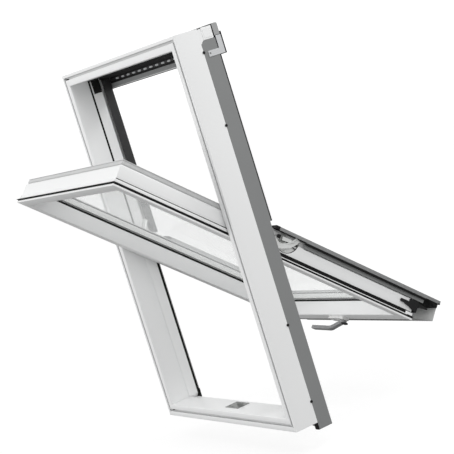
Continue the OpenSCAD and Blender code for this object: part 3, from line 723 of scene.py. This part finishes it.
def cap_section(w):
    m = MM
    low = ribs((10.4 * m, CAP_Q + 0.3 * m), (10.4 * m, 69.4 * m), 1.6 * m, 0.5 * m)
    rib = ribs((9 * m, 69.6 * m), (9 * m, 78 * m), 2.8 * m, 0.25 * m)
    return np.array([(10.6 * m, CAP_Q + 0.02 * m)] + low + rib
                    + [(10.9 * m, 78.1 * m), (10.9 * m, 80.3 * m), (9.2 * m, 80.4 * m),
                       (9.2 * m, CAP_TOP - 0.5 * m), (9.8 * m, CAP_TOP), (w + 0.4 * m, CAP_TOP),
                       (w + m, CAP_TOP - 0.6 * m), (w + m, CAP_TOP - 2.5 * m),
                       (w - 12.5 * m, CAP_TOP - 2.5 * m), (w - 12.5 * m, CAP_Q + 0.05 * m),
                       (w - 14.5 * m, CAP_Q + 0.05 * m), (w - 14.5 * m, CAP_TOP - 2.5 * m),
                       (12 * m, CAP_TOP - 2.5 * m), (12 * m, CAP_Q + 0.02 * m)])


INNER, INNER_B = SASH_W + MM, SASH_BW + MM
CAP_STEP, CAP_SEAM = 9 * MM, 0.15 * MM
cap_low = lambda e: to_bottom(e, CAP_STEP, INNER, INNER_B) - SASH_HH + CAP_SEAM
cap_high = lambda e: SASH_HH - e - CAP_SEAM
cap_end = lambda e: to_side(e, CAP_STEP, INNER, INNER_B) + CAP_SEAM
cap_side = cap_section(SASH_W)
for side, tag in SIDES:
    bars(f"cap_{tag}", [sash_side(cap_side, side, cap_low, cap_high)], "sash", "cap_aluminium",
         [f"glazing_cap_{tag}"], 0)
bars("cap_top", [sash_level(cap_side, lambda e: e + CAP_SEAM, SASH_HH, -1)], "sash", "cap_aluminium",
     ["glazing_cap_top"], 0)
bars("cap_bottom", [sash_level(cap_section(SASH_BW), cap_end, -SASH_HH, 1)], "sash", "cap_aluminium",
     ["glazing_cap_bottom"], 0)


# %% [markdown]
# The covers lie over the lower half only and stand a little proud of the sash. Each is thin
# sheet: a ribbed leg outside, a level top and a short plain leg inside.

# %% Side covers
def cover_section():
    """An angle: a ribbed leg outside, a level sheet with shallow ribs on its outer third."""
    m, o, t = MM, 6 * MM, SHEET
    leg = ribs((-o, CAP_TOP + 0.3 * m), (-o, COVER_TOP - 1.6 * m), 2.9 * m, 1.0 * m)
    sheet = ribs((-o + 2 * m, COVER_TOP), (6 * m, COVER_TOP), 2.4 * m, 0.35 * m)
    return np.array([(t - o, CAP_TOP), (0.4 * m - o, CAP_TOP)] + leg + [(-o + 0.5 * m, COVER_TOP - 0.5 * m)]
                    + sheet + [(30 * m, COVER_TOP), (30 * m, COVER_TOP - t), (t - o, COVER_TOP - t)])


def level_at(s):
    """A straight cut: every point of a section ends at the same s."""
    return lambda e: np.full(len(e), s)


cover = cover_section()
cover_low, cover_high = level_at(-SASH_HH - 83 * MM), level_at(2 * MM)
inner_leg = soften([(28.5 * MM, COVER_TOP), (30 * MM, COVER_TOP), (30 * MM, CAP_TOP), (28.5 * MM, CAP_TOP)],
                   0.3 * MM)
for side, tag in SIDES:
    ends = sash_side(cover, side, cover_low, cover_high)
    inner = sash_side(inner_leg, side, level_at(42 * MM - SASH_HH), cover_high)
    bars(f"side_cover_{tag}", [ends, inner], "sash", "cover_aluminium", [f"sash_cover_{tag}"], 0.2 * MM)

# %% [markdown]
# ## Softened copies
# Sheet parts, blocks and seals already have the right form. Each gets a copy with its flat faces
# merged and every edge rounded a little, since a dead-sharp edge shows no highlight.

# %% Copies with rounded edges
BODY_OF = {node: body for body, nodes in frame["record"]["behaviour"]["bodies"].items() for node in nodes}


def rounded_copy(node, width):
    """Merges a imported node's triangles into flat faces and bevels what is left of its edges."""
    source = frame["nodes"][node]
    work = bmesh.new()
    work.from_mesh(source.data)
    work.transform(source.matrix_world)
    bmesh.ops.remove_doubles(work, verts=work.verts, dist=1e-5)
    bmesh.ops.dissolve_limit(work, angle_limit=math.radians(2), verts=work.verts, edges=work.edges)
    mesh = bpy.data.meshes.new(node + "_soft")
    work.to_mesh(mesh)
    work.free()
    mesh.shade_smooth()
    mesh.set_sharp_from_angle(angle=SHARP)
    piece = bpy.data.objects.new(node + "_soft", mesh)
    bpy.context.scene.collection.objects.link(piece)
    round_edges(piece, width, harden=True)
    slot = SLOT_OF[node]
    dress(piece, slot)
    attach(piece, BODY_OF[node])
    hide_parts(node)
    print(node, "copied:", len(mesh.polygons), "flat faces before rounding")


for node, width in {
        "head_end_blocks": 0.7, "handle_base": 1.2, "latch_tongue": 0.9,
        "keeper_screws": 0.3, "side_cladding_left": 0.5, "side_cladding_right": 0.5,
        "sill_cladding": 0.5, "upper_cover_left": 0.5,
        "upper_cover_right": 0.5, "head_casing": 0.5, "casing_apron": 0.5, "vent_bar": 0.4,
        "corner_seals": 0.8, "bottom_end_seals": 0.6, "bracket_left": 0.4, "bracket_right": 0.4,
        "bottom_cover": 0.4, "cover_rails": 0.4, "corner_blocks": 0.9, "front_seal": 0.5,
        "cover_end_caps": 0.6, "keeper_plate": 0.4, "sash_hinge_plate_left": 0.3,
        "sash_hinge_plate_right": 0.3, "sash_hinge_arm_left": 0.4, "sash_hinge_arm_right": 0.4,
        "frame_hinge_left": 0.3, "frame_hinge_right": 0.3, "hinge_slider_left": 0.4,
        "hinge_slider_right": 0.4, "glass_spacer": 0.2, "lower_rib_seals": 0.2}.items():
    rounded_copy(node, width * MM)

# %% [markdown]
# ## Seals
# The rubber round the sash has a thin lip outside the flange. Its corners are mitred; because the
# lip stands out further above and below than at the sides, a level bar's mitre is stretched by
# the ratio of the two overhangs.

# %% Sash seal
def seal_section(reach):
    m = MM
    corners = [(5.9, 12.8), (5.9, 6.2), (1.2, 6.2), (0.8, 8.0), (-reach * 0.85, 8.3), (-reach, 9.3),
               (-reach * 0.6, 10.4), (0.4, 10.9), (0.6, 12.8)]
    return soften(np.array(corners) * m, 0.4 * m)


SIDE_REACH, END_REACH = 1.5, 4.8
side_seal, end_seal = seal_section(SIDE_REACH), seal_section(END_REACH)
seal_high = lambda e: SASH_HH - np.where(e > 0, e, e * END_REACH / SIDE_REACH)
seal_end = lambda e: np.where(e > 0, e, e * SIDE_REACH / END_REACH)
seal_bars = [sash_side(side_seal, side, lambda e: -seal_high(e), seal_high) for side in (1, -1)]
seal_bars += [sash_level(end_seal, seal_end, SASH_HH, -1), sash_level(end_seal, seal_end, -SASH_HH, 1)]
bars("sash_seal", seal_bars, "sash", "black_rubber", ["sash_gasket"], 0)

# %% [markdown]
# Two thin strips run along the sides. A dark one lies in the narrow groove above the flange's
# step. A light one shows just outside the lip, from the pivot down.

# %% Dark and light strips
slit = np.array([(3.4, 22.15), (8.6, 22.15), (8.6, 24.35), (3.4, 24.35)]) * MM
slit_low = lambda e: to_bottom(e) - SASH_HH + 0.3 * MM
slit_high = lambda e: SASH_HH - e - 0.3 * MM
bars("slit_seal", [sash_side(slit, side, slit_low, slit_high) for side in (1, -1)], "sash", "black_rubber",
     [], 0)
line = soften([(1.9 * MM, 11.1 * MM), (1.9 * MM, 13.5 * MM), (-0.5 * MM, 13.4 * MM), (-0.5 * MM, 11.2 * MM)],
              0.4 * MM)
line_low, line_high = level_at(22 * MM - SASH_HH), level_at(-8 * MM)
bars("sash_line", [sash_side(line, side, line_low, line_high) for side in (1, -1)], "sash", "sash_plastic",
     [], 0)

# %% [markdown]
# ## Ventilation bar at the head
# Seen from the room: three black lips under the head, a dark field with a row of slots and pale fills in them
# (painted light for the daylight through the slots), then a grey strip and a bright edge, both nearly flush
# with the bar (painted shade and a painted highlight for a sloping face and its rim).

# %% Slots with painted light
VENT_Y = 146.2 * MM
VENT_X = HALF_W - STILE_W - 3.4 * MM
SLOT_PITCH, SLOT_Z = 40 * MM, HEIGHT - 58 * MM
slot_count = int((2 * VENT_X - SLOT_PITCH) / SLOT_PITCH)
oval = np.radians(np.linspace(0, 360, 24, endpoint=False))
oval_x = 10.2 * MM * np.sign(np.cos(oval)) * np.abs(np.cos(oval)) ** 0.6
oval_z = SLOT_Z + 2.9 * MM * np.sign(np.sin(oval)) * np.abs(np.sin(oval)) ** 0.6
# Pale fills in the slots: painted light, standing in for the daylight seen through them
slot_light_fills = []
for i in range(slot_count):
    middle = (i - (slot_count - 1) / 2) * SLOT_PITCH
    slot_light_fills.append(tuple(np.stack([middle + oval_x, np.full(len(oval), y), oval_z], 1)
                      for y in (VENT_Y, VENT_Y + 1.9 * MM)))
bars("vent_painted_slot_light", slot_light_fills, "frame", "bracket_steel", [], 0)

# %% [markdown]
# The closed sash passes within a millimetre of the bar, so the strips stay nearly flush with it. Their
# colours stand in for a slope's light: the grey strip is painted shade, the bright edge a painted highlight.

# %% Strips
low_z = HEIGHT - 85 * MM
face, back = VENT_Y - 0.85 * MM, VENT_Y - 0.1 * MM


def vent_strip(low, high):
    return prism([(face, low), (back, low), (back, high), (face, high)], -VENT_X, VENT_X)


# Painted shade: a flat grey strip coloured like a sloping face turned away from the light
slope_shade_outline = [(back, low_z + 3.4 * MM), (back, low_z + 16 * MM), (back - 0.1 * MM, low_z + 16 * MM),
              (face, low_z + 3.4 * MM)]
bars("vent_painted_slope_shade", [prism(slope_shade_outline, -VENT_X, VENT_X)], "frame", "grey_cladding", [], 0)
# Painted highlight: a bright strip where the slope's lower rim catches the light
bars("vent_painted_rim_highlight", [vent_strip(low_z + 0.1 * MM, low_z + 3 * MM)], "frame", "cap_aluminium", [], 0)
surround = [vent_strip(low_z + 16.3 * MM, SLOT_Z - 4.2 * MM), vent_strip(SLOT_Z + 4.2 * MM, HEIGHT - 43 * MM)]
bars("vent_surround", surround, "frame", "black_rubber", [], 0)

# %% [markdown]
# Three thin rubber lips hang below the head, each narrowing towards its tip.

# %% Lips
lips = []
lip_top = HEIGHT - RIDGE_W - 0.1 * MM
for y, drop in ((107.5, 8.0), (111.5, 11.0), (116.0, 9.0)):
    tip_z = HEIGHT - HEAD_W - drop * MM
    outline = [(y * MM, lip_top), ((y + 2.2) * MM, lip_top), ((y + 1.6) * MM, tip_z), ((y + 0.6) * MM, tip_z)]
    lips.append(prism(soften(outline, 0.4 * MM), -VENT_X - 3 * MM, VENT_X + 3 * MM))
bars("head_lips", lips, "frame", "black_rubber", [], 0)

# %% [markdown]
# A raised field on each white end block, as on the moulded part.

# %% End block fields
field = soften([(93.5 * MM, HEIGHT - 31 * MM), (119 * MM, HEIGHT - 31 * MM), (119 * MM, HEIGHT - 4 * MM),
                (93.5 * MM, HEIGHT - 4 * MM)], 1.5 * MM)
bars("block_fields", [prism(field, side * (HALF_W - MM), side * (HALF_W + 0.5 * MM)) for side in (1, -1)],
     "frame", "frame_plastic", [], 0.4 * MM)

# %% [markdown]
# ## Hinge pocket
# The half-round pocket shows a light plate with a dark rim, a steel hook round a steel disc, a
# stop block, a thin rod, a rivet and a dark panel. They are flat prisms on the plate, drawn in
# the sash's (q, s).

# %% Small parts in the pocket
def ring_band(q, s, inner, outer, start, end, steps=28):
    """Closed outline of part of a ring: out along the larger radius and back along the smaller."""
    a = np.radians(np.linspace(start, end, steps))
    out = np.stack([q - outer * np.cos(a), s - outer * np.sin(a)], 1)
    back = np.stack([q - inner * np.cos(a[::-1]), s - inner * np.sin(a[::-1])], 1)
    return np.vstack([out, back]) * MM


def pocket_parts(name, shapes, slot, bevel=0.25):
    """Each shape is (outline, from, to): metres in (q, s), then two depths in millimetres from the
    sash's edge."""
    solids = []
    for side in (1, -1):
        for outline, e0, e1 in shapes:
            solids.append(prism(outline, side * (SASH_HW - e0 * MM), side * (SASH_HW - e1 * MM), sash_point))
    bars(name, solids, "sash", slot, [], bevel * MM)


def rod(q0, s0, q1, s1, width):
    """A straight bar from one place to another, as a closed outline."""
    one, two = np.array([q0, s0]), np.array([q1, s1])
    side = np.array([-(two - one)[1], (two - one)[0]]) / np.linalg.norm(two - one) * width / 2
    return soften(np.array([one + side, two + side, two - side, one - side]) * MM, width * 0.3 * MM)


# %% [markdown]
# Each part goes into both pockets at once, mirrored, with its depths counted from the sash's edge.

# %% Rim, hook, disc, rod and panel
pocket_parts("pocket_rims", [(ring_band(72, -37, 42.4, 43.9, -82, 82, 48), 6.3, 11.5)], "black_plastic", 0)
pocket_parts("pocket_hooks", [(ring_band(69, -22, 12.4, 15.0, -45, 75), 6.6, 9.4),
                              (rod(66, -79.5, 77, -78, 4), 6.6, 8.8)], "keeper_steel")
pocket_parts("pocket_discs", [(ring_band(69, -22, 0.5, 11.8, 0, 358), 7.4, 9.4)], "keeper_steel")
pocket_parts("pocket_darks", [(rod(69, -14, 68, -2, 11), 5.2, 7.2),
                              (ring_band(67, -72.8, 0.3, 3.2, 0, 358), 6.6, 9.6),
                              (rod(58.4, -54, 52, -72.4, 2.2), 6.2, 8.4)], "black_plastic")
panel = np.array([(57.5, -42), (65.4, -36), (65.4, -79), (61, -77), (57, -62)]) * MM
pocket_parts("pocket_panels", [(soften(panel, 2 * MM), 9.0, 9.9)], "dark_metal")

# %% [markdown]
# ## Handle
# The lever is one bent strap. Its centre line is smoothed by averaging neighbours four times, and
# each ring is the superellipse |a|^n + |b|^n = 1 with n = 6, set square to the line. The grip is
# a little wider than the neck, and the free end is blunt.

# %% Lever
HUB_X = 22 * MM
HUB_S = 24 * MM - SASH_HH


def swept(path, half_s, half_t, count=24, power=6):
    """Rings along a path of (x, q) places; half_s is along the sash, half_t across the strap."""
    path = np.asarray(path, float)
    run = np.gradient(path, axis=0)
    run /= np.linalg.norm(run, axis=1, keepdims=True)
    normal = np.stack([-run[:, 1], run[:, 0]], 1)
    a = np.linspace(0, 2 * math.pi, count, endpoint=False)
    u = np.sign(np.cos(a)) * np.abs(np.cos(a)) ** (2 / power)
    v = np.sign(np.sin(a)) * np.abs(np.sin(a)) ** (2 / power)
    rings = []
    for p, n, hs, ht in zip(path, normal, half_s, half_t):
        rings.append(sash_point(p[0] + n[0] * ht * v, p[1] + n[1] * ht * v, HUB_S + hs * u))
    return rings


knots = np.array([(24, -16), (12, -20), (-2, -25.5), (-18, -32.5), (-30, -37), (-42, -38.2), (-60, -37.6),
                  (-85, -37.0), (-110, -36.6), (-130, -36.2), (-139, -36)]) * MM
along = np.linspace(0, len(knots) - 1, 61)
path = np.stack([np.interp(along, range(len(knots)), knots[:, k]) for k in (0, 1)], 1)
for _ in range(4):
    path[1:-1] = (path[:-2] + path[1:-1] + path[2:]) / 3
t = np.linspace(0, 1, len(path))
grip = np.clip((t - 0.3) / 0.2, 0, 1)
tip = np.sqrt(np.clip(1 - np.clip((t - 0.97) / 0.03, 0, 0.85) ** 2, 0, 1))
half_s = (8.0 + 1.9 * grip) * MM * tip
half_t = 6.2 * MM * tip
rings = swept(path, half_s, half_t)
make_piece("lever", np.vstack(rings), tube_faces(len(rings), len(rings[0])), "handle", "handle_metal",
           ["handle_lever"])

# %% [markdown]
# The hub is a turned body. Its profile is carried round the handle's own axis.

# %% Hub
def turned(profile, count=40):
    """Rings of a body turned about the hub's line: profile is (radius, q) from end to end."""
    a = np.linspace(0, 2 * math.pi, count, endpoint=False)
    return [sash_point(HUB_X + r * MM * np.cos(a), np.full(count, q * MM), HUB_S + r * MM * np.sin(a))
            for r, q in profile]


hub = turned([(6, -3.5), (6, -10.5), (12, -10.5), (12.5, -11.2), (12.5, -17.8), (11.6, -19.4), (9.6, -20.1),
              (3, -20.3)])
make_piece("hub", np.vstack(hub), tube_faces(len(hub), len(hub[0])), "handle", "handle_metal")

# %% [markdown]
# ## Inside of the bottom cover
# The flap's inside carries a sheet of metal lighter than the cover's: a painted reflection of the bright
# surroundings it faces. The frame's outer gasket runs down to the sill on a small black foot.

# %% Painted reflection in the flap, and gasket feet
flap_s = -SASH_HH - 75.75 * MM
# A bright metal sheet on the flap's inner face: painted reflection
reflection_outline = [(28 * MM, flap_s - 0.2 * MM), (90 * MM, flap_s - 0.2 * MM), (90 * MM, flap_s), (28 * MM, flap_s)]
bars("flap_painted_reflection", [prism(np.array(reflection_outline), -SASH_HW + 0.6 * MM, SASH_HW - 0.6 * MM, sash_point)], "sash",
     "spacer_metal", [], 0)
foot_outline = soften([(106.3 * MM, 23.5 * MM), (117.5 * MM, 23.5 * MM), (117.5 * MM, 40.4 * MM),
                       (106.3 * MM, 40.4 * MM)], MM)
feet = [prism(foot_outline, side * (HALF_W - 36 * MM), side * (HALF_W - 22.3 * MM)) for side in (1, -1)]
bars("gasket_feet", feet, "frame", "black_rubber", [], 0)

# %% [markdown]
# ## Ends of the grooves
# Where the lining grooves meet at the left corners, a small dark plug closes the joint. The covers
# end at the bottom in a short black shoe.

# %% Plugs and shoes
def plug(x, z, radius, y0, y1, count=20):
    a = np.linspace(0, 2 * math.pi, count, endpoint=False)
    across, up = x + radius * np.cos(a), z + radius * np.sin(a)
    return tuple(np.stack([across, np.full(count, y), up], 1) for y in (y0, y1))


spots = [(27.5 * MM - HALF_W, HEIGHT - 16.5 * MM), (36 * MM - HALF_W, 21.5 * MM)]
bars("groove_plugs", [plug(x, z, 2.2 * MM, 0.4 * MM, 9.2 * MM) for x, z in spots], "frame", "black_rubber",
     [], 0)

shoe = np.array([(-5.9, 80.9), (-5.9, 84), (-4.4, 84.6), (-4.4, 91.2), (3, 91.2), (3, 80.9)]) * MM
shoe_low, shoe_high = level_at(-SASH_HH - 83.4 * MM), level_at(-SASH_HH - 76 * MM)
shoes = [sash_side(soften(shoe, 0.4 * MM), side, shoe_low, shoe_high) for side in (1, -1)]
bars("cover_shoes", shoes, "sash", "black_plastic", [], 0.4 * MM)

# %% [markdown]
# ## Floor
# A plain pale floor below the lowest piece. It is hidden from every ray but the camera's, so it
# shows a clean ground without lighting the undersides.

# %% Floor
def make_floor(z, size):
    bpy.ops.mesh.primitive_plane_add(size=size, location=(0, 0, z))
    floor = bpy.context.object
    floor.name = "floor"
    f = Finish("floor")
    f.set(Base_Color=f.mix(f.noise(0.8, 2.0), (0.13, 0.13, 0.13), (0.15, 0.15, 0.15)), Roughness=0.9,
          Emission_Color=(1, 1, 1, 1), Emission_Strength=0.85)
    floor.data.materials.append(f.material)
    floor.visible_diffuse = False
    floor.visible_glossy = False


make_floor(z=-0.075, size=120)
